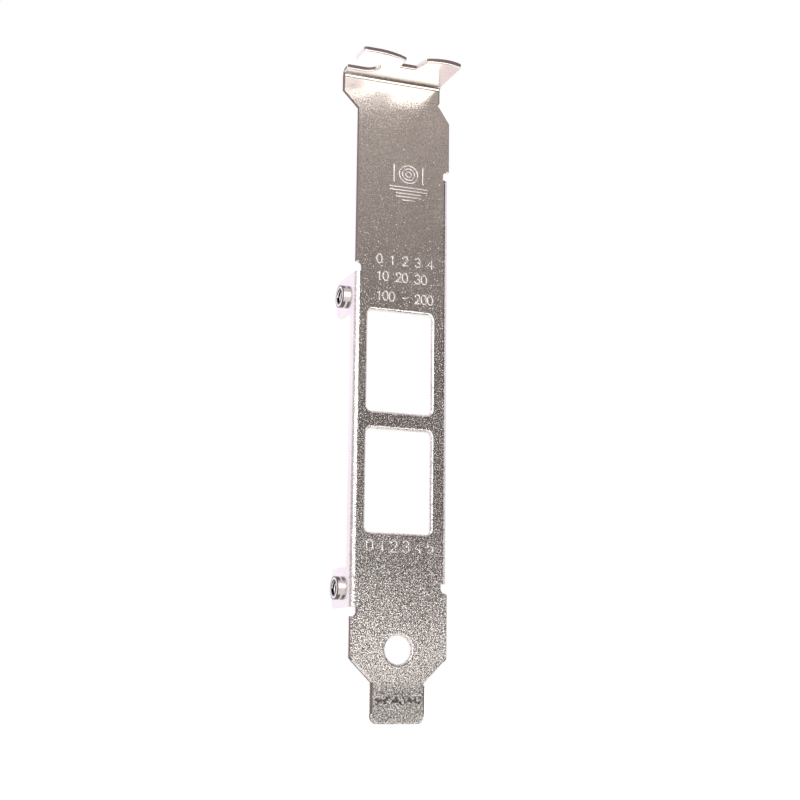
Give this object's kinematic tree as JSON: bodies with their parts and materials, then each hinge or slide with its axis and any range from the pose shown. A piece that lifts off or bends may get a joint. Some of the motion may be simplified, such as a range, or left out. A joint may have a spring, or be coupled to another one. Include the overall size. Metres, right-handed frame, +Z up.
{
  "type": "full height bracket",
  "caption": "Full height expansion card bracket folded from plated steel sheet, with two port windows, a top flange with an open screw slot and threaded card tabs.",
  "frame": {"origin": "where the outer face of the strip, the seating underside of the top flange and the centre line of the strip's width meet", "axes": "+Z up along the strip towards the top flange, +Y into the chassis, +X across the strip, to the right as seen from outside the chassis"},
  "size_m": [0.0215, 0.0213, 0.1201],
  "materials": {
    "plated_steel": "satin plated, fine grained"
  },
  "bodies": {
    "root": {"bracket": "plated_steel"}
  },
  "joints": []
}
